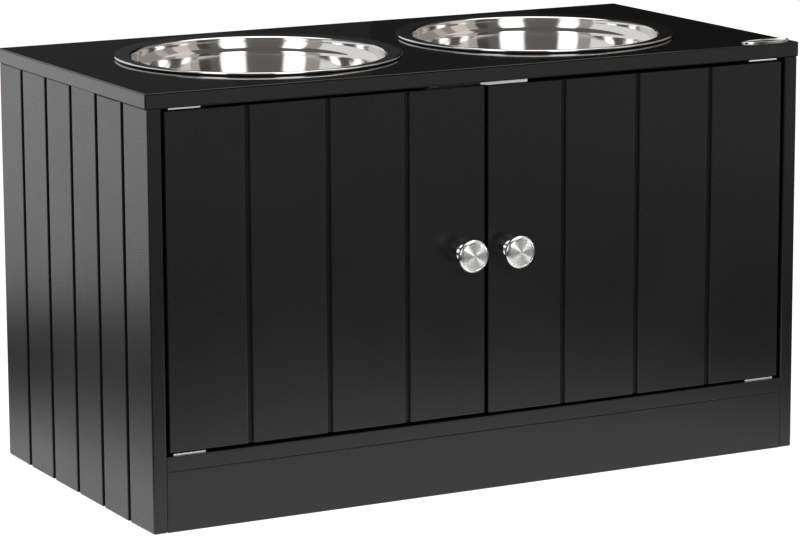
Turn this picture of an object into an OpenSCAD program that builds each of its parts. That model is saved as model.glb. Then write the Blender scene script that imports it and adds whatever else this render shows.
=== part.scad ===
// Raised feeder for a dog: a small black cabinet with two doors under two steel bowls.
// Millimetres. X is to the right, Y to the back, Z up. The origin lies on the floor, in the
// middle of the whole width and of the whole depth, knobs included.

/* [Cabinet] */
// Width of the top panel
top_w = 610; // [520:1:760]
// Depth of the top panel, and of the cabinet
top_d = 305; // [285:1:380]
// Height of the top panel's upper face above the floor
cabinet_h = 354.7; // [260:0.1:480]
// Thickness of the top panel
top_t = 12.7; // [11:0.1:20]
// How far the top panel passes each side panel
top_over = 1.5; // [0:0.5:10]
// Thickness of the side panels
side_t = 12; // [11:0.5:18]
// Thickness of the bottom shelf
shelf_t = 12; // [11:0.5:18]
// Thickness of the toe kick and of the rear rail
kick_t = 12; // [11:0.5:18]
// Height of the toe kick and of the rear rail
kick_h = 50; // [34:1:90]
// Thickness of the back panel
back_t = 3; // [2:0.5:6]
// How deep the back panel sits in its grooves
back_groove = 4; // [2:0.5:6]
// Distance from the back panel to the rear edge of the cabinet
back_inset = 7; // [4:0.5:20]

/* [Planks] */
// Width of a plank groove where it opens on the face
groove_w = 7; // [5:0.5:10]
// Depth of a plank groove, and radius of its two rounded lips
groove_depth = 2; // [1:0.25:2.5]
// Planks on each door
door_planks = 4; // [2:1:6]
// Planks on each side panel, an even number
side_planks = 6; // [2:2:6]
// Distance between two plank grooves on a side panel
side_pitch = 52; // [40:1:56]

/* [Doors] */
// Thickness of the doors
door_t = 12; // [11:0.5:14]
// How far the doors stand back from the front edges of the cabinet
door_recess = 1; // [0:0.25:4]
// Gap between a door and its side panel
door_side_gap = 3.4; // [2.5:0.1:6]
// Gap between the two doors
door_mid_gap = 3.8; // [2.5:0.1:6]
// Gap above the left door
door_top_gap = 2.7; // [2.4:0.1:5]
// Distance from the hinge edge of a door to its pivot
pivot_in = 8; // [7:0.5:12]

/* [Hinges] */
// Length of a hinge plate
plate_l = 28; // [26:1:40]
// Width of a hinge plate
plate_w = 9; // [7:0.5:10.5]
// Thickness of a hinge plate
plate_t = 1.6; // [1:0.1:2]
// How far a hinge plate passes its pivot, towards the side panel
plate_past = 4.2; // [4:0.1:6]
// Diameter of a pivot pin
pin_d = 4; // [3:0.5:5]
// Length of a pivot pin past its hinge plate
pin_l = 9; // [8:0.5:10]
// Outer diameter of a pivot socket
socket_d = 7; // [6.5:0.5:8]
// Thickness of a pivot washer
washer_t = 0.6; // [0.4:0.1:1.2]
// Outer diameter of a pivot washer
washer_d = 8; // [7:0.5:9]
// Washers under the left door
left_washers = 2; // [2:1:3]
// Washers under the right door
right_washers = 1; // [1:1:2]

/* [Knobs] */
// Largest diameter of a knob
knob_d = 27.5; // [26:0.5:36]
// Diameter of the spun face of a knob
knob_face_d = 22; // [16:0.5:23]
// How far a knob stands off its door
knob_proj = 20.5; // [16:0.5:35]
// Thickness of the head of a knob
knob_head_t = 7; // [6.5:0.5:9]
// Diameter of the neck of a knob
knob_neck_d = 10; // [9:0.5:12]
// Diameter of the foot of a knob, on the door
knob_foot_d = 14; // [13:0.5:18]
// Distance from the free edge of a door to its knob
knob_in = 20; // [18:0.5:50]
// Diameter of the knob screw
knob_screw_d = 4; // [3:0.5:5]
// Length of the knob screw inside the knob
knob_screw_in = 9; // [6:0.5:11]

/* [Bowls] */
// Outer diameter of a bowl's rim
bowl_d = 241; // [200:1:256]
// Distance between the middles of the two bowls
bowl_pitch = 266; // [262:1:320]
// Depth of a bowl under the top panel's upper face
bowl_depth = 62; // [50:1:80]
// Width of the flat part of a bowl's rim
bowl_rim_w = 8.5; // [7:0.5:14]
// Radius of the curled edge of the rim
bowl_curl_r = 2.1; // [1.5:0.1:3]
// Sheet thickness of a bowl
bowl_sheet = 0.9; // [0.6:0.1:1.2]
// Depth of the upper wall of a bowl, down to its crease
bowl_crease = 11; // [9:1:20]
// Play between a bowl and the edge of its cut-out
bowl_play = 1.5; // [1:0.25:3]

/* [Catches] */
// Length of a catch housing
catch_l = 44; // [40:1:56]
// Depth of a catch housing, from front to back
catch_depth = 14; // [12:0.5:20]
// Height of a catch housing
catch_h = 13; // [11:0.5:15]
// Distance from the middle of the cabinet to the near end of a catch
catch_off = 2.3; // [1:0.1:10]
// How far the lip of the right catch, over the doors, stands to the left of its housing
catch_lip_left = 7; // [4:0.5:12]
// Length of a strike plate
strike_l = 34; // [28:1:36]
// Height of a strike plate
strike_h = 12; // [10:0.5:14]
// Thickness of a strike plate
strike_t = 1; // [0.6:0.1:1.5]

/* [Oval plate] */
// Length of the bare oval plate on the top
oval_l = 47; // [30:1:60]
// Width of the oval plate
oval_w = 15; // [12:1:26]
// Thickness of the oval plate
oval_t = 1.2; // [0.9:0.1:2]
// Width of the raised border of the oval plate
oval_border = 1.8; // [1:0.1:4]
// Depth of the field inside that border
oval_sunk = 0.5; // [0.2:0.1:0.7]
// Distance from the oval plate to the right edge of the top
oval_right = 1; // [1:0.5:20]
// Distance from the oval plate to the front edge of the top
oval_front = 7; // [3:0.5:20]

/* [Fittings] */
// Diameter of a cam lock
cam_d = 12; // [11:0.5:15]
// Depth of a cam lock in its board
cam_depth = 9; // [8:0.5:9.5]
// Distance from a board's end to its cam lock
cam_reach = 24; // [20:1:34]
// Diameter of the bolt of a cam lock
cam_bolt_d = 4.5; // [4:0.5:5]
// How deep a cam bolt is screwed into its board
cam_bolt_in = 8; // [6:0.5:8.5]
// Diameter of a wooden dowel
dowel_d = 6; // [5:0.5:7]
// Length of a wooden dowel
dowel_l = 24; // [20:1:30]
// How deep a wooden dowel goes into a board's face
dowel_in = 8; // [6:0.5:8.5]
// Diameter of a wood screw
screw_d = 3; // [2.5:0.5:3.5]
// Diameter of a wood screw's head
screw_head_d = 6; // [5:0.5:6.5]
// Length of a hinge screw
hinge_screw_l = 10.5; // [8:0.5:11]
// Length of a strike screw in its door
strike_screw_l = 8.5; // [7:0.5:9]
// Screws that hold the back panel to the shelf
back_screws = 5; // [3:1:7]
// Length of a back panel screw
back_screw_l = 14; // [10:1:20]

/* [Hidden] */
$fn = 48;
fine = 96;                                 // segments of the large round shapes
black = "#1b1b1d";
steel = "#c9ccd0";

// Clearances
past = 1;                                  // how far a cut passes the face that it opens
fit = 0.1;                                 // play of fasteners and panels in their holes
running = 0.06;                            // radial play of a pivot pin in its socket
apart = 0.3;                               // gap between pieces that move past each other

// Main planes of the cabinet
body_w = top_w - 2 * top_over;
inner_x = body_w / 2 - side_t;             // inner face of a side panel
side_mid = body_w / 2 - side_t / 2;
under_top = cabinet_h - top_t;
shelf_top = kick_h + shelf_t;
shelf_mid = kick_h + shelf_t / 2;
back_y = (top_d + knob_proj - door_recess) / 2;
front_y = back_y - top_d;
mid_y = back_y - top_d / 2;                // middle of the cabinet's depth
panel_y = back_y - back_inset - back_t;    // front face of the back panel
rail_y = panel_y - kick_t;                 // front face of the rear rail

// Doors
door_front = front_y + door_recess;
door_back = door_front + door_t;
door_w = inner_x - door_side_gap - door_mid_gap / 2;
plate_top = shelf_top + plate_t;           // upper face of the lower hinge plates
door_h = under_top - door_top_gap - plate_top - left_washers * washer_t - apart;
pivot_x = inner_x - door_side_gap - pivot_in;
pivot_y = door_front + door_t / 2;
plate_end = pivot_x + plate_past;          // outer end of a hinge plate
rivet_d = pin_d + 2.4;                     // head of a pivot pin, sunk in the board
rivet_h = 1.4;
screw_edge = 1.4;                          // from a hinge screw's head to what is beside it
hinge_screw_x = [pivot_x - (rivet_d + screw_head_d) / 2 - screw_edge,
    plate_end - plate_l + screw_head_d / 2 + screw_edge];
socket_flange = 1;                         // width and thickness of a socket's flange
socket_floor = 1;                          // thickness of a socket's closed end
washer_hole_d = pin_d + 2 * apart;

// Knobs
knob_x = door_mid_gap / 2 + knob_in;
foot_h = 1.2;
rim_round = 2;                             // radius of the knob's rim
rim_drop = 2.8;                             // from the knob's face to the middle of its rim
neck_round = 4;                            // radius from the neck to the underside
ring_w = 0.8;                              // ring groove round the face
ring_sunk = 0.5;
face_dish = 1;                             // how far the face falls to its middle

// Catches
catch_x = catch_off + catch_l / 2;
catch_front = door_back + strike_t + apart;
catch_bottom = under_top - catch_h;
catch_seat = 4;                            // height of the screw heads in the housing
catch_screw_x = catch_l / 2 - 4;           // from the middle of the housing
catch_screw_y = catch_front + catch_depth - 4.5;
catch_screw_l = catch_h - catch_seat + 0.6 * top_t;
catch_step = 1;                            // small step along the lower front edge
catch_lip_y = pivot_y - plate_w / 2;       // front of the lip, in line with the hinge plates
lip_clear = 0.6;                           // play between the lip and the doors
left_lip_t = door_top_gap - lip_clear;
right_lip_t = left_lip_t + (left_washers - right_washers) * washer_t;
catch_cut_y = 6;                           // cut along the upper front edge of the left catch
catch_cut_z = 1.5;
magnet_l = catch_l - 16;
magnet_w = 8;
magnet_h = 5;
magnet_z = under_top - catch_h / 2;
magnet_back = 1.5;                         // how far the magnet stands back in its mouth
pole_t = 1.5;
pole_w = 9;
mouth_h = magnet_h + 2 * pole_t + 2 * fit; // mouth of a catch housing
strike_drop = 1.5;                         // from the door's upper edge to the strike plate

// Joinery along the depth, between the plank grooves
cam_y = [mid_y - 1.5 * side_pitch, mid_y + 1.5 * side_pitch];
dowel_y = [mid_y - 0.5 * side_pitch, mid_y + 0.5 * side_pitch];
rail_cam_z = 0.36 * kick_h;
rail_dowel_z = 0.74 * kick_h;
collar_d = cam_bolt_d + 1.4;
collar_h = 2;
bolt_head_d = cam_bolt_d + 1;
bolt_head_h = 3.5;
bolt_head_at = 2;                          // from the bolt head's start to the cam's axis
cam_slot_d = bolt_head_d + 1;
cam_cross_w = 6;
cam_cross_h = 2;
back_screw_x = inner_x - cam_reach - 20;

// Oval plate
oval_x = top_w / 2 - oval_right - oval_l / 2;
oval_y = front_y + oval_front + oval_w / 2;
stud_d = 2;
stud_l = 4;

// Bowls
bowl_r = bowl_d / 2;
rim_top = cabinet_h + apart + bowl_curl_r;
rim_fall = 0.5;                            // how far the flat rim falls towards the bowl
wall_bend = 3;                             // radius between rim and wall
upper_slope = 3;                           // how far the upper wall leans inwards
lower_slope = 14;                          // how far the lower wall leans inwards
floor_bend = 24;                           // radius between wall and floor
floor_rise = 0.8;                          // raised middle of the floor
floor_disc = 40;                           // radius of that raised middle
disc_edge = 3;
bend_x = bowl_r - bowl_curl_r - bowl_rim_w;
bend_z = rim_top - rim_fall - wall_bend;
wall_top_r = bend_x - wall_bend;
crease_r = wall_top_r - upper_slope;
crease_z = cabinet_h - bowl_crease;
bowl_floor = cabinet_h - bowl_depth + bowl_sheet;
wall_a = atan2(crease_z - bowl_floor, lower_slope);    // slope of the lower wall
lip_a = atan2(bend_z - crease_z, upper_slope);         // slope of the upper wall
floor_start = crease_r - lower_slope - floor_bend * tan(wall_a / 2);
hole_r = wall_top_r + bowl_sheet + wall_bend / 2 + bowl_play;

// Points on an arc about c, with radius r, from angle a to angle b
function arc(c, r, a, b, n) =
    [for (i = [0 : n]) c + r * [cos(a + (b - a) * i / n), sin(a + (b - a) * i / n)]];

// Unit normal of the path p at its point i, to the left of its direction
function normal(p, i) =
    let (d = p[min(i + 1, len(p) - 1)] - p[max(i - 1, 0)]) [-d[1], d[0]] / norm(d);

// The path p from its end to its start, moved to its right by t
function back_along(p, t) = [for (i = [len(p) - 1 : -1 : 0]) p[i] - t * normal(p, i)];

// Everything is drawn for the right half and mirrored for the left half
module on_side(right) {
    if (right) children();
    else mirror([1, 0, 0]) children();
}

module both_sides() {
    children();
    mirror([1, 0, 0]) children();
}

// Board between its lowest and its highest corner
module board(lo, hi) {
    translate(lo) cube(hi - lo);
}

// Section of a groove between two planks, cut into a face that looks towards +Y
module groove_section() {
    difference() {
        translate([-groove_w / 2, -groove_depth]) square([groove_w, groove_depth + past]);
        for (s = [-1, 1])
            translate([s * groove_w / 2, -groove_depth]) circle(r = groove_depth);
    }
}

// Cross recess sunk into a screw head that looks towards +Z
module cross_recess(d, h) {
    for (a = [0, 90])
        rotate([0, 0, a]) translate([-d / 2, -d / 12, -h]) cube([d, d / 6, h + past]);
}

// Countersunk wood screw, its head's face at the origin and its point along -Z
module flat_screw(l) {
    head_h = (screw_head_d - screw_d) / 2;
    difference() {
        rotate_extrude() polygon([[0, 0], [screw_head_d / 2, 0], [screw_d / 2, -head_h],
            [screw_d / 2, screw_d - l], [0, -l]]);
        cross_recess(0.6 * screw_head_d, 0.6 * head_h);
    }
}

module flat_screw_hole(l) {
    head_h = (screw_head_d - screw_d) / 2;
    rotate_extrude() polygon([[0, past], [screw_head_d / 2 + fit, past],
        [screw_head_d / 2 + fit, 0], [screw_d / 2 + fit, -head_h],
        [screw_d / 2 + fit, -l - fit], [0, -l - fit]]);
}

// Pan-head screw, the underside of its head at the origin
module pan_screw(d, l) {
    head_h = 0.6 * d;
    difference() {
        union() {
            translate([0, 0, -l]) cylinder(d = d, h = l + head_h / 2);
            cylinder(d = 2 * d, h = head_h);
        }
        translate([0, 0, head_h]) cross_recess(1.2 * d, 0.5 * head_h);
    }
}

// Straight hole from the origin along -Z, open above the origin
module bore(d, l) {
    translate([0, 0, -l]) cylinder(d = d + 2 * fit, h = l + past);
}

// ---- Joinery, for the right half. A child has its joint at the origin, the board
// that holds the cam lock along +Z, and the cam lock's open face towards +X ----

module at_top_cams() {
    for (y = cam_y)
        translate([side_mid, y, under_top]) rotate([0, 180, 0]) children();
}

module at_shelf_cams() {
    for (y = cam_y)
        translate([inner_x, y, shelf_mid]) rotate([0, 90, 180]) children();
}

module at_front_cam() {
    translate([inner_x, front_y + kick_t / 2, rail_cam_z])
        rotate([0, 90, 180]) rotate([0, 0, -90]) children();
}

module at_rear_cam() {
    translate([inner_x, rail_y + kick_t / 2, rail_cam_z])
        rotate([0, 90, 180]) rotate([0, 0, 90]) children();
}

module at_top_dowels() {
    for (y = dowel_y)
        translate([side_mid, y, under_top]) rotate([0, 180, 0]) children();
}

module at_shelf_dowels() {
    for (y = dowel_y)
        translate([inner_x, y, shelf_mid]) rotate([0, 90, 180]) children();
}

module at_rail_dowels() {
    for (y = [front_y, rail_y])
        translate([inner_x, y + kick_t / 2, rail_dowel_z]) rotate([0, 90, 180]) children();
}

// Cam lock in a board of thickness t
module cam_lock(t) {
    difference() {
        translate([t / 2 - cam_depth, 0, cam_reach]) rotate([0, 90, 0])
            cylinder(d = cam_d, h = cam_depth - fit);
        translate([0, 0, cam_reach - cam_d]) cylinder(d = cam_slot_d, h = 1.3 * cam_d);
        translate([t / 2 - fit, 0, cam_reach]) rotate([0, 90, 0])
            cross_recess(cam_cross_w, cam_cross_h);
    }
}

module cam_lock_hole(t) {
    translate([t / 2 - cam_depth - fit, 0, cam_reach]) rotate([0, 90, 0])
        cylinder(d = cam_d + 2 * fit, h = cam_depth + past);
    cam_bolt_hole();
}

// Bolt of a cam lock: threaded end, collar at the joint, neck, and head inside the lock
module cam_bolt() {
    translate([0, 0, -cam_bolt_in])
        cylinder(d = cam_bolt_d, h = cam_bolt_in + cam_reach - bolt_head_at);
    cylinder(d = collar_d, h = collar_h);
    translate([0, 0, cam_reach - bolt_head_at]) cylinder(d = bolt_head_d, h = bolt_head_h);
}

module cam_bolt_hole() {
    bore(cam_bolt_d, cam_bolt_in + fit);
    cylinder(d = collar_d + 2 * fit, h = cam_reach);
}

module dowel() {
    translate([0, 0, -dowel_in]) cylinder(d = dowel_d, h = dowel_l);
}

module dowel_hole() {
    translate([0, 0, -dowel_in - fit]) cylinder(d = dowel_d + 2 * fit, h = dowel_l + 2 * fit);
}

// ---- Other places, for the right half ----

// Pivots on the top panel's underside and on the shelf, a child's +Z into the board
module at_upper_pivot() {
    translate([pivot_x, pivot_y, under_top]) children();
}

module at_lower_pivot() {
    translate([pivot_x, pivot_y, shelf_top]) mirror([0, 0, 1]) children();
}

module rivet_hole() {
    translate([0, 0, -past]) cylinder(d = rivet_d + 2 * fit, h = past + rivet_h + fit);
}

// Hinge screws, their heads flush with the faces of the hinge plates
module at_hinge_screws() {
    for (x = hinge_screw_x) {
        translate([x, pivot_y, under_top - plate_t]) mirror([0, 0, 1]) children();
        translate([x, pivot_y, plate_top]) children();
    }
}

// Catch screws, their heads down
module at_catch_screws() {
    for (s = [-1, 1])
        translate([catch_x + s * catch_screw_x, catch_screw_y, catch_bottom + catch_seat])
            mirror([0, 0, 1]) children();
}

module at_back_screws() {
    for (i = [0 : back_screws - 1])
        translate([(2 * i / (back_screws - 1) - 1) * back_screw_x, panel_y + back_t, shelf_mid])
            rotate([-90, 0, 0]) children();
}

// ---- Cabinet ----

module top_panel() {
    color(black) difference() {
        board([-top_w / 2, front_y, under_top], [top_w / 2, back_y, cabinet_h]);
        both_sides() {
            translate([bowl_pitch / 2, mid_y, under_top - past])
                cylinder(r = hole_r, h = top_t + 2 * past, $fn = fine);
            at_top_cams() cam_bolt_hole();
            at_top_dowels() dowel_hole();
            at_upper_pivot() rivet_hole();
            at_hinge_screws() flat_screw_hole(hinge_screw_l);
            at_catch_screws() bore(screw_d, catch_screw_l + fit);
        }
        board([-inner_x - back_groove - fit, panel_y - fit, under_top - past],
            [inner_x + back_groove + fit, panel_y + back_t + fit, under_top + back_groove + fit]);
        at_oval_studs() bore(stud_d, stud_l + fit);
    }
}

module side_panel() {
    difference() {
        board([inner_x, front_y, 0], [inner_x + side_t, back_y, under_top]);
        for (i = [1 : side_planks - 1])
            translate([inner_x + side_t, mid_y + (i - side_planks / 2) * side_pitch, -past])
                rotate([0, 0, -90]) linear_extrude(under_top + 2 * past) groove_section();
        board([inner_x - past, panel_y - fit, kick_h - fit],
            [inner_x + back_groove + fit, panel_y + back_t + fit, under_top + past]);
        at_top_cams() cam_lock_hole(side_t);
        at_top_dowels() dowel_hole();
        at_shelf_cams() cam_bolt_hole();
        at_shelf_dowels() dowel_hole();
        at_front_cam() cam_bolt_hole();
        at_rear_cam() cam_bolt_hole();
        at_rail_dowels() dowel_hole();
    }
}

module left_side_panel() { color(black) on_side(false) side_panel(); }

module right_side_panel() { color(black) on_side(true) side_panel(); }

module bottom_shelf() {
    color(black) difference() {
        board([-inner_x, front_y, kick_h], [inner_x, panel_y, shelf_top]);
        both_sides() {
            at_shelf_cams() cam_lock_hole(shelf_t);
            at_shelf_dowels() dowel_hole();
            at_lower_pivot() rivet_hole();
            at_hinge_screws() flat_screw_hole(hinge_screw_l);
        }
        at_back_screws() bore(screw_d, back_screw_l + fit);
    }
}

module toe_kick() {
    color(black) difference() {
        board([-inner_x, front_y, 0], [inner_x, front_y + kick_t, kick_h]);
        both_sides() {
            at_front_cam() cam_lock_hole(kick_t);
            at_rail_dowels() dowel_hole();
        }
    }
}

module rear_rail() {
    color(black) difference() {
        board([-inner_x, rail_y, 0], [inner_x, panel_y, kick_h]);
        both_sides() {
            at_rear_cam() cam_lock_hole(kick_t);
            at_rail_dowels() dowel_hole();
        }
    }
}

module back_panel() {
    color("#2a2a2c") difference() {
        board([-inner_x - back_groove, panel_y, kick_h],
            [inner_x + back_groove, panel_y + back_t, under_top + back_groove]);
        at_back_screws() bore(screw_d, back_t + past);
    }
}

module cam_locks() {
    color(steel) both_sides() {
        at_top_cams() cam_lock(side_t);
        at_shelf_cams() cam_lock(shelf_t);
        at_front_cam() cam_lock(kick_t);
        at_rear_cam() cam_lock(kick_t);
    }
}

module cam_bolts() {
    color(steel) both_sides() {
        at_top_cams() cam_bolt();
        at_shelf_cams() cam_bolt();
        at_front_cam() cam_bolt();
        at_rear_cam() cam_bolt();
    }
}

module wooden_dowels() {
    color("#c8a878") both_sides() {
        at_top_dowels() dowel();
        at_shelf_dowels() dowel();
        at_rail_dowels() dowel();
    }
}

// Screws through the back panel into the shelf
module back_panel_screws() {
    color(steel) at_back_screws() pan_screw(screw_d, back_screw_l);
}

// Ellipse of the oval plate, drawn in by the given distance
module oval_outline(inset) {
    polygon([for (i = [0 : fine - 1]) [(oval_l / 2 - inset) * cos(360 * i / fine),
        (oval_w / 2 - inset) * sin(360 * i / fine)]]);
}

module at_oval_studs() {
    for (s = [-1, 1])
        translate([oval_x + s * oval_l / 4, oval_y, cabinet_h]) children();
}

// Bare plate: a raised border round a plain field, on two studs
module oval_plate() {
    color("#d8dadd") {
        difference() {
            translate([oval_x, oval_y, cabinet_h]) linear_extrude(oval_t) oval_outline(0);
            translate([oval_x, oval_y, cabinet_h + oval_t - oval_sunk])
                linear_extrude(oval_sunk + past) oval_outline(oval_border);
        }
        at_oval_studs() translate([0, 0, -stud_l])
            cylinder(d = stud_d, h = stud_l + (oval_t - oval_sunk) / 2);
    }
}

// ---- Hinges ----

// Plates under the top panel and on the shelf
module hinge_plates() {
    color("#dfe1e4") both_sides() difference() {
        for (plate_bottom = [shelf_top, under_top - plate_t])
            translate([plate_end - plate_l, pivot_y - plate_w / 2, plate_bottom])
                cube([plate_l, plate_w, plate_t]);
        at_hinge_screws() flat_screw_hole(hinge_screw_l);
        at_upper_pivot() bore(pin_d, plate_t + past);
        at_lower_pivot() bore(pin_d, plate_t + past);
    }
}

// Pins riveted into the hinge plates, their heads sunk in the boards
module pivot_pin() {
    translate([0, 0, -plate_t - pin_l]) cylinder(d = pin_d, h = pin_l + plate_t + rivet_h / 2);
    cylinder(d = rivet_d, h = rivet_h);
}

module pivot_pins() {
    color("#2e2e30") both_sides() {
        at_upper_pivot() pivot_pin();
        at_lower_pivot() pivot_pin();
    }
}

module hinge_screws() {
    color(steel) both_sides() at_hinge_screws() flat_screw(hinge_screw_l);
}

// Loose rings on the lower hinge plates, which carry a door
module washer_stack(n) {
    for (i = [0 : n - 1])
        translate([pivot_x, pivot_y, plate_top + i * washer_t]) difference() {
            cylinder(d = washer_d, h = washer_t - fit);
            translate([0, 0, -past]) cylinder(d = washer_hole_d, h = washer_t + 2 * past);
        }
}

module pivot_washers() {
    color("#2b2b2b") {
        on_side(false) washer_stack(left_washers);
        on_side(true) washer_stack(right_washers);
    }
}

// ---- Catches ----

// Lip under the top panel, in front of the housing: thinner over the left door, which
// stands higher
module catch_lip() {
    near = catch_x - catch_l / 2;
    far = near - catch_lip_left + catch_l;
    board([near - catch_lip_left, catch_lip_y, under_top - left_lip_t],
        [far, catch_front - apart, under_top]);
    board([0, catch_lip_y, under_top - right_lip_t], [far, catch_front - apart, under_top]);
    board([near, catch_front - apart - past, max(under_top - left_lip_t, magnet_z + mouth_h / 2)],
        [far, catch_front + past, under_top]);
}

// Housing with a mouth that holds the magnet between its two poles
module catch_housing() {
    difference() {
        board([catch_x - catch_l / 2, catch_front, catch_bottom],
            [catch_x + catch_l / 2, catch_front + catch_depth, under_top]);
        board([catch_x - magnet_l / 2 - fit, catch_front - past, magnet_z - mouth_h / 2],
            [catch_x + magnet_l / 2 + fit, catch_front + magnet_back + magnet_w + fit,
                magnet_z + mouth_h / 2]);
        board([catch_x - catch_l, catch_front - past, catch_bottom - past],
            [catch_x + catch_l, catch_front + catch_step, catch_bottom + catch_step]);
        at_catch_screws() {
            bore(screw_d, catch_h);
            cylinder(d = 2 * screw_d + 4 * fit, h = catch_seat + past);
        }
    }
}

module left_catch_housing() {
    color("#b8babd") on_side(false) difference() {
        catch_housing();
        board([catch_x - catch_l, catch_front - past, under_top - catch_cut_z],
            [catch_x + catch_l, catch_front + catch_cut_y, under_top + past]);
    }
}

module right_catch_housing() {
    color("#b8babd") on_side(true) {
        catch_housing();
        catch_lip();
    }
}

module catch_magnets() {
    color("#3a3a3c") both_sides()
        translate([catch_x - magnet_l / 2, catch_front + magnet_back, magnet_z - magnet_h / 2])
            cube([magnet_l, magnet_w, magnet_h]);
}

// Steel poles above and below each magnet, their front edges at the mouth
module catch_pole_plates() {
    color("#8f9296") both_sides() for (s = [-1, 1])
        translate([catch_x - magnet_l / 2, catch_front,
            magnet_z + s * (magnet_h + pole_t) / 2 - pole_t / 2])
            cube([magnet_l, pole_w, pole_t]);
}

module catch_screws() {
    color(steel) both_sides() at_catch_screws() pan_screw(screw_d, catch_screw_l);
}

// ---- Doors, for the right half ----

// Height of a door's lower edge
function door_z(right) =
    plate_top + (right ? right_washers : left_washers) * washer_t + apart;

// Pivots in the upper and the lower edge of a door, a child's +Z out of the door
module at_door_pivots(right) {
    translate([pivot_x, pivot_y, door_z(right) + door_h]) children();
    translate([pivot_x, pivot_y, door_z(right)]) mirror([0, 0, 1]) children();
}

// Knob, a child's +Z out of the door's front face
module at_knob(right) {
    translate([knob_x, door_front, door_z(right) + door_h / 2]) rotate([90, 0, 0]) children();
}

// Strike plate, a child's +Z out of the door's back face
module at_strike(right) {
    translate([catch_x, door_back, door_z(right) + door_h - strike_drop - strike_h / 2])
        rotate([-90, 0, 0]) children();
}

module door(right) {
    z = door_z(right);
    x = door_mid_gap / 2;
    color(black) on_side(right) difference() {
        board([x, door_front, z], [x + door_w, door_back, z + door_h]);
        for (i = [1 : door_planks - 1])
            translate([x + i * door_w / door_planks, door_front, z - past]) rotate([0, 0, 180])
                linear_extrude(door_h + 2 * past) groove_section();
        at_door_pivots(right) {
            bore(socket_d, pin_l + socket_floor + fit);
            bore(socket_d + 2 * socket_flange, socket_flange + fit);
        }
        at_knob(right) bore(knob_screw_d, door_t + past);
        at_strike(right) translate([0, 0, strike_t])
            flat_screw_hole(strike_screw_l + strike_t);
    }
}

module left_door() { door(false); }

module right_door() { door(true); }

// Turned knob: foot, neck, underside, round rim, ring groove and dished face
module knob(right) {
    rim_x = knob_d / 2 - rim_round;
    face_r = knob_face_d / 2;
    foot_round = (knob_foot_d - knob_neck_d) / 2;
    head_z = knob_proj - knob_head_t;
    color(steel) on_side(right) at_knob(right) difference() {
        rotate_extrude($fn = fine) polygon(concat(
            [[0, 0], [knob_foot_d / 2, 0]],
            arc([knob_foot_d / 2, foot_h + foot_round], foot_round, 270, 180, 6),
            arc([knob_neck_d / 2 + neck_round, head_z - neck_round], neck_round, 180, 90, 6),
            arc([rim_x, knob_proj - rim_drop], rim_round, 270, 380, 8),
            [[face_r + ring_w, knob_proj - ring_sunk / 2], [face_r + ring_w / 2, knob_proj],
             [face_r, knob_proj - ring_sunk], [face_r - ring_w / 2, knob_proj],
             [0, knob_proj - face_dish]]));
        translate([0, 0, knob_screw_in + fit]) bore(knob_screw_d, knob_screw_in + past);
    }
}

module left_knob() { knob(false); }

module right_knob() { knob(true); }

// Machine screw from the inside of the door into the knob
module knob_screw(right) {
    color(steel) on_side(right) at_knob(right) translate([0, 0, -door_t]) mirror([0, 0, 1])
        pan_screw(knob_screw_d, door_t + knob_screw_in);
}

module left_knob_screw() { knob_screw(false); }

module right_knob_screw() { knob_screw(true); }

// Flanged bushes in the edges of the door, in which the pivot pins turn
module pivot_socket() {
    difference() {
        union() {
            translate([0, 0, -pin_l - socket_floor])
                cylinder(d = socket_d, h = pin_l + socket_floor);
            translate([0, 0, -socket_flange])
                cylinder(d = socket_d + 2 * socket_flange, h = socket_flange);
        }
        translate([0, 0, -pin_l]) cylinder(d = pin_d + 2 * running, h = pin_l + past);
    }
}

module left_pivot_sockets() {
    color("#2b2b2b") on_side(false) at_door_pivots(false) pivot_socket();
}

module right_pivot_sockets() {
    color("#2b2b2b") on_side(true) at_door_pivots(true) pivot_socket();
}

// Steel plate that the magnet holds
module strike_plate(right) {
    color("#c4c7cb") on_side(right) at_strike(right) difference() {
        translate([-strike_l / 2, -strike_h / 2, 0]) cube([strike_l, strike_h, strike_t]);
        translate([0, 0, strike_t]) flat_screw_hole(strike_screw_l);
    }
}

module left_strike_plate() { strike_plate(false); }

module right_strike_plate() { strike_plate(true); }

module strike_screw(right) {
    color(steel) on_side(right) at_strike(right) translate([0, 0, strike_t])
        flat_screw(strike_screw_l + strike_t);
}

module left_strike_screw() { strike_screw(false); }

module right_strike_screw() { strike_screw(true); }

// ---- Bowls ----

// Upper surface of a bowl: floor, bend, lower wall, crease, upper wall, rim, curled edge
bowl_path = concat(
    [[0, bowl_floor + floor_rise], [floor_disc, bowl_floor + floor_rise],
     [floor_disc + disc_edge, bowl_floor]],
    arc([floor_start, bowl_floor + floor_bend], floor_bend, 270, 270 + wall_a, 12),
    [[crease_r, crease_z]],
    arc([bend_x, bend_z], wall_bend, 90 + lip_a, 90, 7),
    arc([bowl_r - bowl_curl_r, cabinet_h + apart], bowl_curl_r, 90, 0, 5));

module bowl() {
    translate([bowl_pitch / 2, mid_y, 0]) rotate_extrude($fn = fine)
        polygon(concat(bowl_path, back_along(bowl_path, bowl_sheet)));
}

module left_bowl() { color("#d9dadc") on_side(false) bowl(); }

module right_bowl() { color("#d9dadc") on_side(true) bowl(); }

top_panel();
left_side_panel();
right_side_panel();
bottom_shelf();
toe_kick();
rear_rail();
back_panel();
cam_locks();
cam_bolts();
wooden_dowels();
back_panel_screws();
oval_plate();
hinge_plates();
pivot_pins();
hinge_screws();
pivot_washers();
left_catch_housing();
right_catch_housing();
catch_magnets();
catch_pole_plates();
catch_screws();
left_door();
left_knob();
left_knob_screw();
left_pivot_sockets();
left_strike_plate();
left_strike_screw();
right_door();
right_knob();
right_knob_screw();
right_pivot_sockets();
right_strike_plate();
right_strike_screw();
left_bowl();
right_bowl();
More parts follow.
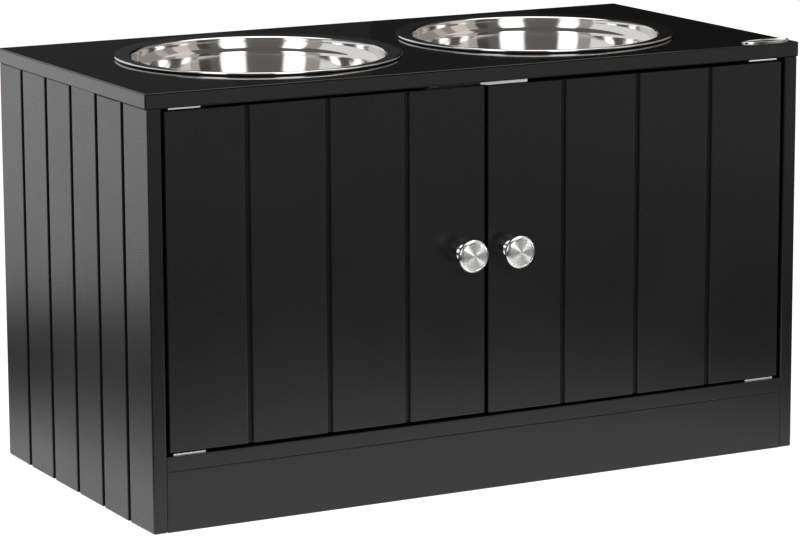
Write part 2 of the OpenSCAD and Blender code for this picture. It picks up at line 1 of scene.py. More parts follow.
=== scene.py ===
"""Raised dog feeder: a black cupboard with two doors under two polished steel bowls."""
import math

import bpy
from mathutils import Matrix, Vector

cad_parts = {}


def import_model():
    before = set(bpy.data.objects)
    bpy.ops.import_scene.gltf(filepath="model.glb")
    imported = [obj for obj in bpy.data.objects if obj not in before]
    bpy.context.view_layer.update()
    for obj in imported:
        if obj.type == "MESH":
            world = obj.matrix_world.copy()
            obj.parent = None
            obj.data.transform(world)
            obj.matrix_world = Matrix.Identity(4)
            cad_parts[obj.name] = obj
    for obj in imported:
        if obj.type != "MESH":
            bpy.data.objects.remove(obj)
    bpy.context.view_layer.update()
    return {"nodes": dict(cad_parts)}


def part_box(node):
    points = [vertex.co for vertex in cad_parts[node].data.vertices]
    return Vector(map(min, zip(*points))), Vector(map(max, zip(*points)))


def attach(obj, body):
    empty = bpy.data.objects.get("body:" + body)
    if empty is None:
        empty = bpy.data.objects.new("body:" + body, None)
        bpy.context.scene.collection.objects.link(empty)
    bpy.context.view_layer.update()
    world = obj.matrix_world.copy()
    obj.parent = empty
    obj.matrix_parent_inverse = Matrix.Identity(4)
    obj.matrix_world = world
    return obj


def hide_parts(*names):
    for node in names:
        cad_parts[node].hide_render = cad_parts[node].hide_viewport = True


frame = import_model()
NODES = frame["nodes"]

MM = 0.001


# ---------------------------------------------------------------- node helpers

class Graph:
    """Small wrapper round a material's node tree."""

    def __init__(self, name):
        self.mat = bpy.data.materials.new(name)
        self.mat.use_nodes = True
        self.tree = self.mat.node_tree
        self.tree.nodes.clear()
        self.out = self.tree.nodes.new("ShaderNodeOutputMaterial")

    def node(self, kind, **values):
        n = self.tree.nodes.new(kind)
        for key, value in values.items():
            setattr(n, key, value)
        return n

    def link(self, a, b):
        self.tree.links.new(a, b)

    def principled(self, color, rough, metal=0.0, **sockets):
        n = self.node("ShaderNodeBsdfPrincipled")
        n.inputs["Base Color"].default_value = (*color, 1)
        n.inputs["Roughness"].default_value = rough
        n.inputs["Metallic"].default_value = metal
        for key, value in sockets.items():
            n.inputs[key.replace("_", " ")].default_value = value
        self.link(n.outputs["BSDF"], self.out.inputs["Surface"])
        return n

    def coords(self, scale=(1, 1, 1)):
        tex = self.node("ShaderNodeTexCoord")
        mapping = self.node("ShaderNodeMapping")
        mapping.inputs["Scale"].default_value = scale
        self.link(tex.outputs["Object"], mapping.inputs["Vector"])
        return mapping.outputs["Vector"]

    def noise(self, vector, scale, detail=3.0, rough=0.5):
        n = self.node("ShaderNodeTexNoise")
        n.inputs["Scale"].default_value = scale
        n.inputs["Detail"].default_value = detail
        n.inputs["Roughness"].default_value = rough
        self.link(vector, n.inputs["Vector"])
        return n.outputs["Fac"]

    def span(self, value, low, high, start=0.0, end=1.0):
        """Maps start..end to low..high."""
        n = self.node("ShaderNodeMapRange")
        n.inputs["From Min"].default_value = start
        n.inputs["From Max"].default_value = end
        n.inputs["To Min"].default_value = low
        n.inputs["To Max"].default_value = high
        self.link(value, n.inputs["Value"])
        return n.outputs["Result"]

    def math(self, op, a, b=None):
        n = self.node("ShaderNodeMath", operation=op)
        for i, v in enumerate((a, b)):
            if v is None:
                continue
            if isinstance(v, (int, float)):
                n.inputs[i].default_value = v
            else:
                self.link(v, n.inputs[i])
        return n.outputs["Value"]

    def mix(self, fac, a, b):
        n = self.node("ShaderNodeMix", data_type="RGBA")
        self.link(fac, n.inputs["Factor"])
        n.inputs["A"].default_value = (*a, 1)
        n.inputs["B"].default_value = (*b, 1)
        return n.outputs["Result"]

    def bump(self, shader, height, strength, distance):
        n = self.node("ShaderNodeBump")
        n.inputs["Strength"].default_value = strength
        n.inputs["Distance"].default_value = distance
        self.link(height, n.inputs["Height"])
        self.link(n.outputs["Normal"], shader.inputs["Normal"])
        return n


# ------------------------------------------------------------------- materials

def paint(name, dark, light, rough, peel=0.12, grooves=None):
    """Satin paint: fine orange peel, slow changes of gloss, a little dust tone.

    grooves is (axis, face, start, level): painted shade, between 0.3 and 2.3 mm under the face at
    that distance along the axis, from start on along Y, the specular level drops to level and
    darkens the groove floors.
    """
    g = Graph(name)
    s = g.principled(dark, rough, Specular_IOR_Level=0.5)
    vec = g.coords()
    cloud = g.noise(vec, 9.0, 4.0)
    g.link(g.mix(cloud, dark, light), s.inputs["Base Color"])
    fine = g.noise(vec, 900.0, 2.0)
    gloss = g.math("ADD", g.span(cloud, -0.035, 0.035, 0.3, 0.7), rough)
    g.link(g.math("ADD", gloss, g.span(fine, -0.02, 0.02, 0.3, 0.7)), s.inputs["Roughness"])
    height = g.math("ADD", g.math("MULTIPLY", g.noise(vec, 420.0, 2.0), 1.0),
                    g.math("MULTIPLY", g.noise(vec, 60.0, 2.0), 0.6))
    g.bump(s, height, peel, 0.0002)
    if grooves:
        axis, face, start, groove_shade_specular = grooves
        split = g.node("ShaderNodeSeparateXYZ")
        g.link(vec, split.inputs["Vector"])
        under = g.math("SUBTRACT", face, g.math("ABSOLUTE", split.outputs[axis]))
        # Painted shade: a lower specular level at the groove floors makes them render darker.
        groove_shade_mask = g.math("MULTIPLY", g.math("GREATER_THAN", under, 0.3 * MM),
                      g.math("LESS_THAN", under, 2.3 * MM))
        groove_shade_mask = g.math("MULTIPLY", groove_shade_mask, g.math("GREATER_THAN", split.outputs["Y"], start))
        g.link(g.span(groove_shade_mask, 0.5, groove_shade_specular), s.inputs["Specular IOR Level"])
    return g.mat


def metal(name, color, rough, scale=(1, 1, 1), grain=0.0, spread=0.04):
    """Bare or plated metal with a fine grain along the axis that scale shrinks."""
    g = Graph(name)
    s = g.principled(color, rough, 1.0)
    vec = g.coords(scale)
    streak = g.noise(vec, 700.0, 3.0)
    stain = g.noise(g.coords(), 35.0, 3.0)
    tone = [c * 0.9 for c in color]
    g.link(g.mix(stain, tone, color), s.inputs["Base Color"])
    gloss = g.math("ADD", g.span(streak, -spread, spread, 0.3, 0.7), rough)
    g.link(g.math("ADD", gloss, g.span(stain, -spread / 2, spread / 2, 0.3, 0.7)),
           s.inputs["Roughness"])
    if grain:
        g.bump(s, streak, grain, 0.0001)
    return g.mat


def lathed_metal(name, color, rough, rings, grain, **sockets):
    """Graph of polished or spun metal with fine circular marks round the piece's Z axis."""
    g = Graph(name)
    s = g.principled(color, rough, 1.0, **sockets)
    tex = g.node("ShaderNodeTexCoord")
    split = g.node("ShaderNodeSeparateXYZ")
    g.link(tex.outputs["Object"], split.inputs["Vector"])
    square = g.math("ADD", g.math("MULTIPLY", split.outputs["X"], split.outputs["X"]),
                    g.math("MULTIPLY", split.outputs["Y"], split.outputs["Y"]))
    radius = g.math("SQRT", square)
    join = g.node("ShaderNodeCombineXYZ")
    g.link(radius, join.inputs["X"])
    g.link(split.outputs["Z"], join.inputs["Y"])
    ring = g.noise(join.outputs["Vector"], rings, 4.0, 0.7)
    smear = g.noise(tex.outputs["Object"], 30.0, 3.0)
    g.link(g.mix(smear, [c * 0.94 for c in color], color), s.inputs["Base Color"])
    gloss = g.math("ADD", g.span(ring, -rough * 0.25, rough * 0.25, 0.3, 0.7), rough)
    g.link(g.math("ADD", gloss, g.span(smear, -rough * 0.2, rough * 0.2, 0.3, 0.7)),
           s.inputs["Roughness"])
    if grain:
        g.bump(s, ring, grain, 0.00005)
    return g


def spun(name, color, rough, anisotropic):
    """Face turned on a lathe: circular marks and the fan of light that they make."""
    g = lathed_metal(name, color, rough, 9000.0, 0.15, Anisotropic=anisotropic,
                     Anisotropic_Rotation=0.25)
    shader = next(n for n in g.tree.nodes if n.type == "BSDF_PRINCIPLED")
    tangent = g.node("ShaderNodeTangent", direction_type="RADIAL", axis="Z")
    g.link(tangent.outputs["Tangent"], shader.inputs["Tangent"])
    return g.mat


def wood(name):
    g = Graph(name)
    s = g.principled((0.6, 0.42, 0.25), 0.6)
    vec = g.coords((1, 8, 8))
    grain = g.noise(vec, 60.0, 4.0)
    g.link(g.mix(grain, (0.5, 0.33, 0.18), (0.68, 0.5, 0.31)), s.inputs["Base Color"])
    g.bump(s, grain, 0.2, 0.0003)
    return g.mat


def plastic(name, color, rough):
    g = Graph(name)
    s = g.principled(color, rough)
    vec = g.coords()
    fine = g.noise(vec, 600.0, 2.0)
    g.link(g.mix(fine, [c * 0.9 for c in color], color), s.inputs["Base Color"])
    g.link(g.math("ADD", g.span(fine, -0.05, 0.05), rough), s.inputs["Roughness"])
    g.bump(s, fine, 0.1, 0.0001)
    return g.mat


FACE_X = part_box("right_side_panel")[1][0]
FACE_Y = -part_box("left_door")[0][1]
CABINET_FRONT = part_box("top_panel")[0][1]
PAINT_TONES = (0.0040, 0.0042, 0.0042), (0.0056, 0.0058, 0.0057)
TOP_TONES = (0.0036, 0.0038, 0.0039), (0.0050, 0.0052, 0.0053)
PAINT_ROUGH = 0.29
EVERYWHERE = -1.0  # a start in front of the whole object
BLACK = paint("satin_black_paint", *PAINT_TONES, PAINT_ROUGH)
BLACK_TOP = paint("satin_black_top", *TOP_TONES, 0.06, 0.04)
# The side and door paints carry painted shade in their grooves.
BLACK_SIDE = paint("satin_black_side_groove_shade", *PAINT_TONES, PAINT_ROUGH,
                   grooves=("X", FACE_X, CABINET_FRONT + 3 * MM, 0.06))
BLACK_DOOR = paint("satin_black_door_groove_shade", *PAINT_TONES, PAINT_ROUGH,
                   grooves=("Y", FACE_Y, EVERYWHERE, 0.2))
HARDBOARD = paint("black_hardboard", (0.010, 0.010, 0.010), (0.015, 0.015, 0.0145), 0.5, 0.3)
ZINC = metal("zinc_plate", (0.62, 0.63, 0.65), 0.32, grain=0.1)
HINGE = metal("bright_plate", (0.95, 0.95, 0.95), 0.40, (1, 12, 12), 0.05)
CATCH = metal("satin_aluminium", (0.88, 0.88, 0.88), 0.50, (0.1, 6, 6), 0.1)
FERRITE = plastic("ferrite", (0.03, 0.03, 0.03), 0.6)
NYLON = plastic("nylon", (0.02, 0.02, 0.02), 0.45)
BLACKENED = metal("blackened_steel", (0.05, 0.05, 0.055), 0.4, grain=0.1)
BEECH = wood("beech_dowel")
MIRROR = lathed_metal("mirror_steel", (0.80, 0.79, 0.78), 0.08, 2500.0, 0.0).mat
SPUN = spun("spun_steel", (0.96, 0.96, 0.95), 0.32, 1.0)
TURNED = lathed_metal("turned_steel", (0.82, 0.82, 0.81), 0.16, 3000.0, 0.0).mat
PLATE = metal("polished_plate", (0.85, 0.85, 0.85), 0.16, grain=0.0)

LOOK = {
    "top_panel": BLACK_TOP, "left_side_panel": BLACK_SIDE, "right_side_panel": BLACK_SIDE,
    "bottom_shelf": BLACK, "toe_kick": BLACK, "rear_rail": BLACK, "back_panel": HARDBOARD,
    "left_door": BLACK_DOOR, "right_door": BLACK_DOOR, "cam_locks": ZINC, "cam_bolts": ZINC,
    "wooden_dowels": BEECH, "back_panel_screws": ZINC, "oval_plate": PLATE,
    "hinge_plates": HINGE, "pivot_pins": BLACKENED, "hinge_screws": ZINC,
    "pivot_washers": NYLON, "left_catch_housing": CATCH, "right_catch_housing": CATCH,
    "catch_magnets": FERRITE, "catch_pole_plates": ZINC, "catch_screws": ZINC,
}
for side in ("left", "right"):
    for part, look in (("knob_screw", ZINC), ("pivot_sockets", NYLON), ("strike_plate", HINGE),
                       ("strike_screw", ZINC)):
        LOOK[f"{side}_{part}"] = look

for name, look in LOOK.items():
    for cad_slot in NODES[name].material_slots:
        cad_slot.link = "OBJECT"
        cad_slot.material = look


# ------------------------------------------------------------- board edges

def outer_edges():
    """Node group that shades a board flat and gives bevel weight 1 to the edges where two
    sides of its box meet."""
    tree = bpy.data.node_groups.new("outer_edges", "GeometryNodeTree")
    tree.interface.new_socket("Geometry", in_out="INPUT", socket_type="NodeSocketGeometry")
    tree.interface.new_socket("Geometry", in_out="OUTPUT", socket_type="NodeSocketGeometry")
    new, link = tree.nodes.new, tree.links.new

    def calc(kind, op, a, b=None):
        n = new(kind)
        n.operation = op
        for i, v in enumerate((a, b)):
            if isinstance(v, (int, float)):
                n.inputs[i].default_value = v
            elif v is not None:
                link(v, n.inputs[i])
        return n.outputs[0]

    start, end = new("NodeGroupInput"), new("NodeGroupOutput")
    box = new("GeometryNodeBoundBox")
    link(start.outputs[0], box.inputs[0])
    ends = new("GeometryNodeInputMeshEdgeVertices")
    total = None
    for corner in ("Min", "Max"):
        far = [calc("ShaderNodeVectorMath", "ABSOLUTE", calc(
            "ShaderNodeVectorMath", "SUBTRACT", ends.outputs[f"Position {k}"], box.outputs[corner]))
            for k in (1, 2)]
        split = new("ShaderNodeSeparateXYZ")
        link(calc("ShaderNodeVectorMath", "MAXIMUM", *far), split.inputs[0])
        for axis in "XYZ":
            on = calc("ShaderNodeMath", "LESS_THAN", split.outputs[axis], 0.01 * MM)
            total = on if total is None else calc("ShaderNodeMath", "ADD", total, on)
    store = new("GeometryNodeStoreNamedAttribute")
    store.data_type, store.domain = "FLOAT", "EDGE"
    store.inputs["Name"].default_value = "bevel_weight_edge"
    link(start.outputs[0], store.inputs["Geometry"])
    link(calc("ShaderNodeMath", "GREATER_THAN", total, 1.5), store.inputs["Value"])
    flat = new("GeometryNodeSetShadeSmooth")
    flat.inputs["Shade Smooth"].default_value = False
    link(store.outputs["Geometry"], flat.inputs[0])
    link(flat.outputs[0], end.inputs[0])
    return tree


OUTER_EDGES = outer_edges()


def soften(name, width, segments):
    """Eases the outer edges of a board."""
    obj = NODES[name]
    weld = obj.modifiers.new("weld", "WELD")
    weld.merge_threshold = 0.02 * MM
    flat = obj.modifiers.new("flat", "DECIMATE")
    flat.decimate_type = "DISSOLVE"
    flat.angle_limit = math.radians(0.5)
    mark = obj.modifiers.new("mark", "NODES")
    mark.node_group = OUTER_EDGES
    bevel = obj.modifiers.new("ease", "BEVEL")
    bevel.width = width
    bevel.segments = segments
    bevel.limit_method = "WEIGHT"
    bevel.use_clamp_overlap = False


CASE_EASE, INNER_EASE = 1.4 * MM, 0.7 * MM
for name in ("top_panel", "left_side_panel", "right_side_panel"):
    soften(name, CASE_EASE, 4)
for name in ("bottom_shelf", "toe_kick", "rear_rail", "left_door", "right_door"):
    soften(name, INNER_EASE, 3)


# ------------------------------------------------------------- turned pieces

def fillet(corners, steps=8):
    """Turns (x, z, radius) corners into a path whose corners are rounded."""
    path = []
    for i, (x, z, r) in enumerate(corners):
        here = Vector((x, z))
        if not r or i in (0, len(corners) - 1):
            path.append(here)
            continue
        a = (Vector(corners[i - 1][:2]) - here).normalized()
        b = (Vector(corners[i + 1][:2]) - here).normalized()
        half = math.acos(max(-1, min(1, a.dot(b)))) / 2
        reach = r / math.tan(half)
        centre = here + (a + b).normalized() * (r / math.sin(half))
        start = here + a * reach - centre
        end = here + b * reach - centre
        turn = math.atan2(start.x * end.y - start.y * end.x, start.dot(end))
        for k in range(steps + 1):
            t = turn * k / steps
            path.append(centre + Vector((start.x * math.cos(t) - start.y * math.sin(t),
                                         start.x * math.sin(t) + start.y * math.cos(t))))
    return path


def dense(path, longest):
    """Splits the long steps of a path."""
    out = [path[0]]
    for p in path[1:]:
        n = max(1, math.ceil((p - out[-1]).length / longest))
        start = out[-1]
        for k in range(1, n + 1):
            out.append(start.lerp(p, k / n))
    return out


def offset(path, t):
    """The path moved to the right of its direction by t."""
    out = []
    for i, p in enumerate(path):
        d = (path[min(i + 1, len(path) - 1)] - path[max(i - 1, 0)]).normalized()
        out.append(p + Vector((d.y, -d.x)) * t)
    return out


SHARP = math.radians(35)  # a sharper bend than this is shaded as an edge


def lathe(name, path, body, node, look, segments, faces=None):
    """Turns a closed path in millimetres about its own Z axis.

    faces gives the place in look of the material behind each step of the path.
    """
    verts, polys = [], []
    rings = []
    for p in path:
        if abs(p.x) < 1e-6:
            rings.append([len(verts)])
            verts.append((0, 0, p.y * MM))
            continue
        rings.append(list(range(len(verts), len(verts) + segments)))
        for k in range(segments):
            a = 2 * math.pi * k / segments
            verts.append((p.x * MM * math.cos(a), p.x * MM * math.sin(a), p.y * MM))
    row = []
    for i, (low, high) in enumerate(zip(rings, rings[1:])):
        if len(low) == 1 and len(high) == 1:
            continue
        for k in range(segments):
            n = (k + 1) % segments
            if len(low) == 1:
                polys.append((low[0], high[n], high[k]))
            elif len(high) == 1:
                polys.append((low[k], low[n], high[0]))
            else:
                polys.append((low[k], low[n], high[n], high[k]))
            row.append(i)
    mesh = bpy.data.meshes.new(name)
    mesh.from_pydata(verts, [], polys)
    for m in look:
        mesh.materials.append(m)
    if faces:
        for poly, i in zip(mesh.polygons, row):
            poly.material_index = faces(i)
    mesh.shade_smooth()
    mesh.set_sharp_from_angle(angle=SHARP)
    obj = bpy.data.objects.new(name, mesh)
    bpy.context.scene.collection.objects.link(obj)
    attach(obj, body)
    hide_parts(node)
    return obj


def middle(node):
    """Middle of a node's box, in millimetres."""
    low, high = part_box(node)
    return [(a + b) / 2 / MM for a, b in zip(low, high)]


# Bowls: the solid's section with eased corners and slightly hollow walls, in millimetres
SHEET = 0.9              # thickness of the steel
CURL = 2.1               # the edge of the flange stands in from the rim by this much
BEAD = 1.25              # radius of the rolled edge
RIM_LIFT = 0.3           # play under the rolled edge
FLOOR_DROP = 61.1        # from the top panel down to the bowl's floor
CREASE_DROP = 11.0       # and to the crease in its wall
CREASE_IN = 14.7         # from the flange's edge in to the crease
MIDDLE_R = 44            # radius of the raised middle of the floor
LOWER_WALL = 106, 24, 5  # radius of the hollow, lean at its foot and at its head
UPPER_WALL = 19, 30, 3


def sweep(centre, radius, start, end, steps):
    """Arc from one angle to another, in degrees."""
    return [centre + Vector((math.cos(a), math.sin(a))) * radius
            for a in (math.radians(start + (end - start) * k / steps) for k in range(steps + 1))]


def wall(foot, radius, low, high, steps=16):
    """Hollow wall that rises from its foot, leaning back by low and then by high degrees."""
    centre = foot - Vector((math.cos(math.radians(-low)), math.sin(math.radians(-low)))) * radius
    return sweep(centre, radius, -low, -high, steps)


def bowl_path(rim, top):
    """Section from the floor's middle to the curled edge, for a rim of that radius."""
    edge = rim - CURL
    floor_z = top - FLOOR_DROP
    crease = Vector((edge - CREASE_IN, top - CREASE_DROP))
    lower = wall(Vector((0, 0)), *LOWER_WALL)
    lower = [p + crease - lower[-1] for p in lower]
    upper = wall(crease + Vector((0.3, 0.6)), *UPPER_WALL, 10)
    bend = upper[-1]
    corner = lower[0]
    path = fillet([
        (0, floor_z + 0.8, 0), (MIDDLE_R - 5, floor_z + 0.8, 6), (MIDDLE_R, floor_z, 6),
        (corner.x - 5, floor_z, 20), (corner.x, corner.y, 0)], 12)
    rim_path = fillet([
        (bend.x, bend.y, 0), (bend.x + 0.3, top + 1.6, 2.4),
        (rim - BEAD, top + RIM_LIFT + 2 * BEAD, 0)], 10)
    curl = sweep(Vector((rim - BEAD, top + RIM_LIFT + BEAD)), BEAD, 90, -100, 14)
    path = dense(path[:-1] + lower + upper[:-1] + rim_path[:-1] + curl, 3.0)
    return path, offset(path, SHEET)


def bowl(side):
    low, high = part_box(f"{side}_bowl")
    x, y, _ = middle(f"{side}_bowl")
    upper, lower = bowl_path((high[1] - low[1]) / 2 / MM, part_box("top_panel")[1][2] / MM)
    lower[0].x = 0
    obj = lathe(f"{side}_bowl_shell", upper + list(reversed(lower)), f"{side}_bowl",
                f"{side}_bowl", [MIRROR], 256)
    obj.location = (x * MM, y * MM, 0)
    return obj


# Knobs: foot, neck, underside, rim, ring groove and slightly raised face, as radius, height
# and rounding in millimetres
KNOB_SECTION = [
    (0, 0, 0), (7, 0, 0.3), (7, 1.2, 0.3), (5, 3.2, 2.0), (5, 13.5, 4.0), (11.3, 14.3, 1.0),
    (13.75, 16.3, 1.2), (13.75, 18.5, 1.6), (11.9, 20.2, 0.3), (11.2, 19.5, 0.15),
    (10.6, 19.9, 0.2), (0, 20.5, 0)]
FACE_EDGE = 11.0         # the spun face lies within this radius
FACE_LEVEL = 19.5        # and above this height


def knob(side):
    path = dense(fillet(KNOB_SECTION, 6), 1.0)
    face = next(i for i, p in enumerate(path) if p.y >= FACE_LEVEL and p.x < FACE_EDGE)
    obj = lathe(f"{side}_knob_turned", path, f"{side}_door", f"{side}_knob", [TURNED, SPUN],
                160, faces=lambda i: 1 if i >= face else 0)
    x, _, z = middle(f"{side}_knob")
    obj.rotation_euler = (math.radians(90), 0, 0)
    obj.location = (x * MM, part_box(f"{side}_knob")[1][1], z * MM)
    return obj


def oval():
    """Bare oval plate: a rounded border round a plain field, squeezed from a round one."""
    low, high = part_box("oval_plate")
    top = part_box("top_panel")[1][2]
    half = [(b - a) / 2 for a, b in zip(low, high)]
    edge, rise = half[0] / MM, (high[2] - top) / MM
    path = fillet([
        (0, -0.4, 0), (edge - 0.3, -0.4, 0), (edge, 0, 0.2), (edge, rise, 0.7),
        (edge - 2.0, rise, 0.7), (edge - 2.9, rise - 0.6, 0.4), (0, rise - 0.6, 0)], 6)
    obj = lathe("oval_border", path, "cabinet", "oval_plate", [PLATE], 160)
    obj.location = ((low[0] + high[0]) / 2, (low[1] + high[1]) / 2, top)
    obj.scale.y = half[1] / half[0]


for side in ("left", "right"):
    bowl(side)
    knob(side)
oval()


# ------------------------------------------------------------------ studio

def emitter(name, strength, color=(1, 1, 1), rise=0.0):
    """Plain light whose strength grows by rise for each metre of height."""
    g = Graph(name)
    e = g.node("ShaderNodeEmission")
    e.inputs["Color"].default_value = (*color, 1)
    e.inputs["Strength"].default_value = strength
    if rise:
        tex = g.node("ShaderNodeTexCoord")
        split = g.node("ShaderNodeSeparateXYZ")
        g.link(tex.outputs["Object"], split.inputs["Vector"])
        g.link(g.math("ADD", g.math("MULTIPLY", split.outputs["Z"], rise), strength),
               e.inputs["Strength"])
    g.link(e.outputs["Emission"], g.out.inputs["Surface"])
    return g.mat


def reflected(name, verts, light):
    """Panel of the studio that only reflections show, made of that light."""
    mesh = bpy.data.meshes.new(name)
    mesh.from_pydata(verts, [], [tuple(range(len(verts)))])
    mesh.materials.append(light)
    obj = bpy.data.objects.new(name, mesh)
    bpy.context.scene.collection.objects.link(obj)
    obj.visible_camera = False
    obj.visible_diffuse = False
    obj.visible_shadow = False
    obj.visible_transmission = False
    return obj


def softbox(name, azimuth, distance, height, size, strength):
    """Reflected panel that faces the object and fades towards its borders."""
    g = Graph(name)
    tex = g.node("ShaderNodeTexCoord")
    split = g.node("ShaderNodeSeparateXYZ")
    g.link(tex.outputs["Object"], split.inputs["Vector"])
    fade = [g.span(g.math("ABSOLUTE", split.outputs[axis]), 1.0, 0.0, 0.3 * width, 0.5 * width)
            for axis, width in (("X", size[0]), ("Z", size[1]))]
    e = g.node("ShaderNodeEmission")
    g.link(g.math("MULTIPLY", g.math("MULTIPLY", *fade), strength), e.inputs["Strength"])
    g.link(e.outputs["Emission"], g.out.inputs["Surface"])
    corners = [(x * size[0] / 2, 0, z * size[1] / 2)
               for x, z in ((-1, -1), (1, -1), (1, 1), (-1, 1))]
    obj = reflected(name, corners, g.mat)
    obj.location = around(azimuth, distance, height)
    obj.rotation_euler.z = math.radians(azimuth + 90)


def lamp(name, centre, size, aim, power):
    """Lamp that lights the object without being seen in it."""
    data = bpy.data.lights.new(name, "AREA")
    data.shape = "RECTANGLE"
    data.size, data.size_y = size
    data.energy = power
    obj = bpy.data.objects.new(name, data)
    bpy.context.scene.collection.objects.link(obj)
    obj.location = centre
    obj.rotation_euler = (Vector(aim) - Vector(centre)).to_track_quat("-Z", "Y").to_euler()
    obj.visible_glossy = False
    return obj


def kicker(name, azimuth, distance, height, size, power, pieces):
    """Lamp for some bright pieces alone, which also mirror it."""
    obj = lamp(name, around(azimuth, distance, height), size, (0, 0, 0.2), power)
    obj.visible_glossy = True
    lit = obj.light_linking.receiver_collection = bpy.data.collections.new(name)
    for piece in pieces:
        lit.objects.link(NODES.get(piece) or bpy.data.objects[piece])


def around(azimuth, distance, height):
    """Point round the object; azimuth 0 is +X, 90 is +Y."""
    a = math.radians(azimuth)
    return (distance * math.cos(a), distance * math.sin(a), height)


# Walls of the studio as reflections show them: from azimuth, to azimuth, strength, tint
WARM = (1.0, 0.93, 0.87)
WHITE = (1.0, 1.0, 1.0)
WALLS = [
    (-5, 30, 0.30, WARM), (30, 58, 0.012, WARM), (58, 63, 0.02, WHITE), (63, 67, 0.03, WHITE),
    (67, 86, 0.04, WHITE), (86, 182, 0.82, WHITE), (182, 199, 0.35, WARM),
    (199, 290, 0.13, WARM), (290, 302, 0.07, WARM), (302, 312, 0.45, WARM),
    (312, 330, 0.70, WARM), (330, 342, 0.30, WARM), (342, 355, 0.50, WARM)]
WALL_R = 3.4
WALL_H = 2.2
CEILING_R = 1.9
CEILING_H = 3.0
CEILING = 2.0            # strengths of the ceiling and of the slope between it and the walls
COVE_LEFT, COVE_RIGHT = 0.12, 0.8
TURN_STEP = 15           # degrees between the corners of walls, slope and ceiling
AMBIENT = 0.28           # light of the world on what isn't glossy
FLOOR_R = 5.0
FLOOR_GLOW = 0.75        # makes the floor white for the camera, but for shadows
# Floor as reflections show it: distance from the object's middle, strength
FLOOR_RINGS = [(0.36, 1.1), (0.62, 0.14), (1.2, 0.06), (1.6, 0.50), (3.0, 0.50)]
# It is darker at the left: strength to the left of one X, and to the right of another
FLOOR_LEFT, FLOOR_RIGHT = 0.2, 1.0
FLOOR_DIM_X = -0.7, -0.35


def floor():
    """White for the camera; for reflections its strength depends on the place."""
    g = Graph("studio_floor")
    diffuse = g.node("ShaderNodeBsdfDiffuse")
    diffuse.inputs["Color"].default_value = (0.8, 0.8, 0.8, 1)
    camera_glow = g.node("ShaderNodeEmission")
    mirror_glow = g.node("ShaderNodeEmission")
    path = g.node("ShaderNodeLightPath")
    tex = g.node("ShaderNodeTexCoord")
    length = g.node("ShaderNodeVectorMath", operation="LENGTH")
    g.link(tex.outputs["Object"], length.inputs[0])
    ramp = g.node("ShaderNodeValToRGB")
    g.link(g.math("DIVIDE", length.outputs["Value"], FLOOR_R), ramp.inputs["Fac"])
    while len(ramp.color_ramp.elements) < len(FLOOR_RINGS):
        ramp.color_ramp.elements.new(0.5)
    for stop, (distance, strength) in zip(ramp.color_ramp.elements, FLOOR_RINGS):
        stop.position = distance / FLOOR_R
        stop.color = (strength, strength, strength, 1)
    split = g.node("ShaderNodeSeparateXYZ")
    g.link(tex.outputs["Object"], split.inputs["Vector"])
    dim = g.span(split.outputs["X"], FLOOR_LEFT, FLOOR_RIGHT, *FLOOR_DIM_X)
    fade = g.math("MULTIPLY", ramp.outputs["Color"], dim)
    g.link(g.math("MULTIPLY", path.outputs["Is Camera Ray"], FLOOR_GLOW),
           camera_glow.inputs["Strength"])
    mirrored = g.math("MAXIMUM", path.outputs["Is Glossy Ray"], path.outputs["Is Transmission Ray"])
    g.link(fade, mirror_glow.inputs["Strength"])
    add = g.node("ShaderNodeAddShader")
    g.link(diffuse.outputs["BSDF"], add.inputs[0])
    g.link(camera_glow.outputs["Emission"], add.inputs[1])
    mix = g.node("ShaderNodeMixShader")
    g.link(mirrored, mix.inputs[0])
    g.link(add.outputs["Shader"], mix.inputs[1])
    g.link(mirror_glow.outputs["Emission"], mix.inputs[2])
    g.link(mix.outputs["Shader"], g.out.inputs["Surface"])
    sides = 64
    ring = [around(360 * k / sides, FLOOR_R, 0) for k in range(sides)]
    mesh = bpy.data.meshes.new("studio_floor")
    mesh.from_pydata(ring, [], [tuple(range(sides))])
    mesh.materials.append(g.mat)
    obj = bpy.data.objects.new("studio_floor", mesh)
    bpy.context.scene.collection.objects.link(obj)
    obj.location.z = -0.2 * MM


def world():
    """White for the camera and in reflections, and a dim light on everything else."""
    w = bpy.data.worlds.new("studio")
    bpy.context.scene.world = w
    w.use_nodes = True
    t = w.node_tree
    t.nodes.clear()
    out = t.nodes.new("ShaderNodeOutputWorld")
    back = t.nodes.new("ShaderNodeBackground")
    back.inputs["Color"].default_value = (1, 1, 1, 1)
    path = t.nodes.new("ShaderNodeLightPath")
    seen = t.nodes.new("ShaderNodeMath")
    seen.operation = "MAXIMUM"
    t.links.new(path.outputs["Is Camera Ray"], seen.inputs[0])
    t.links.new(path.outputs["Is Glossy Ray"], seen.inputs[1])
    also = t.nodes.new("ShaderNodeMath")
    also.operation = "MAXIMUM"
    t.links.new(seen.outputs[0], also.inputs[0])
    t.links.new(path.outputs["Is Transmission Ray"], also.inputs[1])
    level = t.nodes.new("ShaderNodeMapRange")
    level.inputs["To Min"].default_value = AMBIENT
    level.inputs["To Max"].default_value = 1.0
    t.links.new(also.outputs[0], level.inputs["Value"])
    t.links.new(level.outputs["Result"], back.inputs["Strength"])
    t.links.new(back.outputs["Background"], out.inputs["Surface"])


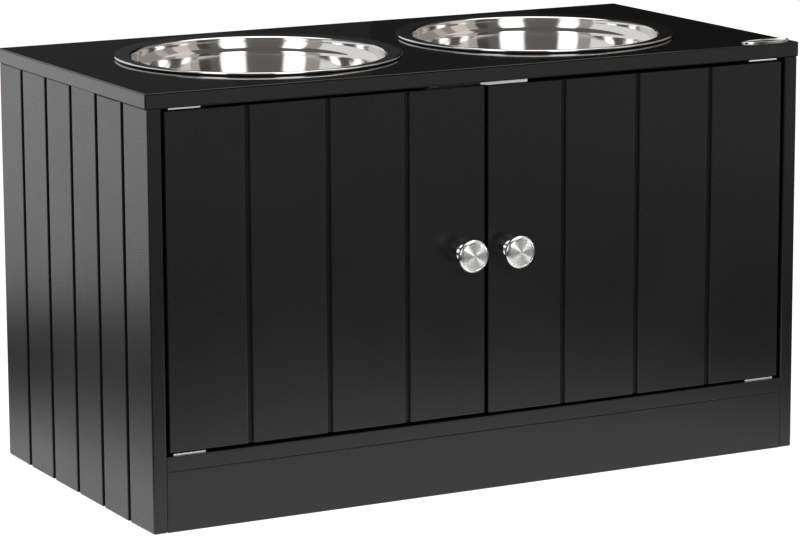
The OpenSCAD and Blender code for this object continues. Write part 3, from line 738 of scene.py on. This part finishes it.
def walls():
    for k, (start, end, strength, tint) in enumerate(WALLS):
        steps = math.ceil((end - start) / TURN_STEP)
        foot = [around(start + (end - start) * i / steps, WALL_R, 0) for i in range(steps + 1)]
        head = [(x, y, WALL_H) for x, y, _ in reversed(foot)]
        reflected(f"wall_{k}", foot + head, emitter(f"wall_{k}", strength, tint))
    turns = range(0, 360, TURN_STEP)
    outer = [around(a, WALL_R, WALL_H) for a in turns]
    inner = [around(a, CEILING_R, CEILING_H) for a in turns]
    for i in range(len(outer)):
        n = (i + 1) % len(outer)
        strength = COVE_RIGHT if 315 <= turns[i] < 360 else COVE_LEFT
        reflected(f"cove_{i}", [outer[i], outer[n], inner[n], inner[i]],
                  emitter(f"cove_{i}", strength, WARM))
    reflected("ceiling", inner, emitter("ceiling", CEILING))


def screen(name, start, end, high, strength, rise):
    """Upright panel on the floor between two points on plan."""
    reflected(name, [(*start, 0), (*end, 0), (*end, high), (*start, high)],
              emitter(name, strength, rise=rise))


world()
floor()
walls()
screen("screen_left", (-1.10, 0.40), (-0.36, 0.85), 0.33, 1.0, 1.6)
# Azimuth, distance and height of the two big sources: a lamp and the panel seen in its place
FRONT, LEFT = (266, 2.5, 1.25), (207, 2.5, 1.25)
TARGET = (0, 0, 0.25)
softbox("panel_front", *FRONT, (1.25, 2.1), 2.6)
softbox("panel_left", *LEFT, (1.1, 2.1), 2.2)
lamp("box_front", around(*FRONT), (0.95, 1.7), TARGET, 34)
lamp("box_left", around(*LEFT), (0.8, 1.7), TARGET, 26)
lamp("box_top", (0, 0.1, 2.6), (1.4, 1.0), (0, 0, 0.3), 14)
# The knobs' fans of light, and the white of the strips in the gaps
KNOBS = ("left_knob_turned", "right_knob_turned")
kicker("kick_left", 254, 2.0, 1.2, (0.4, 0.8), 12, KNOBS)
kicker("kick_right", 342, 2.0, 0.65, (0.5, 0.8), 14, KNOBS)
kicker("kick_floor", 288, 0.6, 0.02, (0.9, 0.3), 0.12, KNOBS)
kicker("kick_low", 298, 1.75, 0.02, (0.5, 0.35), 2, ("hinge_plates", "right_catch_housing"))


# ------------------------------------------------------------------ camera

PHOTO_WIDTH = 800                          # pixels
FOCAL_LENGTH = 3691.94                     # pixels
CAMERA_TURN = -27.9447, 11.2585, -0.2576   # azimuth from the front, elevation, roll
CAMERA_PLACE = -1.46106, -2.74402, 0.78026
SENSOR = 36


def camera():
    """The photograph's view, solved from the cabinet's corners, grooves and bowl rims."""
    az, el, roll = (math.radians(v) for v in CAMERA_TURN)
    back = Vector((math.sin(az) * math.cos(el), -math.cos(az) * math.cos(el), math.sin(el)))
    right = Vector((math.cos(az), math.sin(az), 0))
    up = back.cross(right)
    c, s = math.cos(roll), math.sin(roll)
    right, up = right * c + up * s, up * c - right * s
    data = bpy.data.cameras.new("camera")
    data.sensor_width = SENSOR
    data.lens = FOCAL_LENGTH / PHOTO_WIDTH * SENSOR
    data.clip_end = 50
    obj = bpy.data.objects.new("camera", data)
    bpy.context.scene.collection.objects.link(obj)
    m = Matrix((right, up, back)).transposed().to_4x4()
    m.translation = Vector(CAMERA_PLACE)
    obj.matrix_world = m
    bpy.context.scene.camera = obj


camera()
bpy.context.scene.view_settings.view_transform = "Standard"
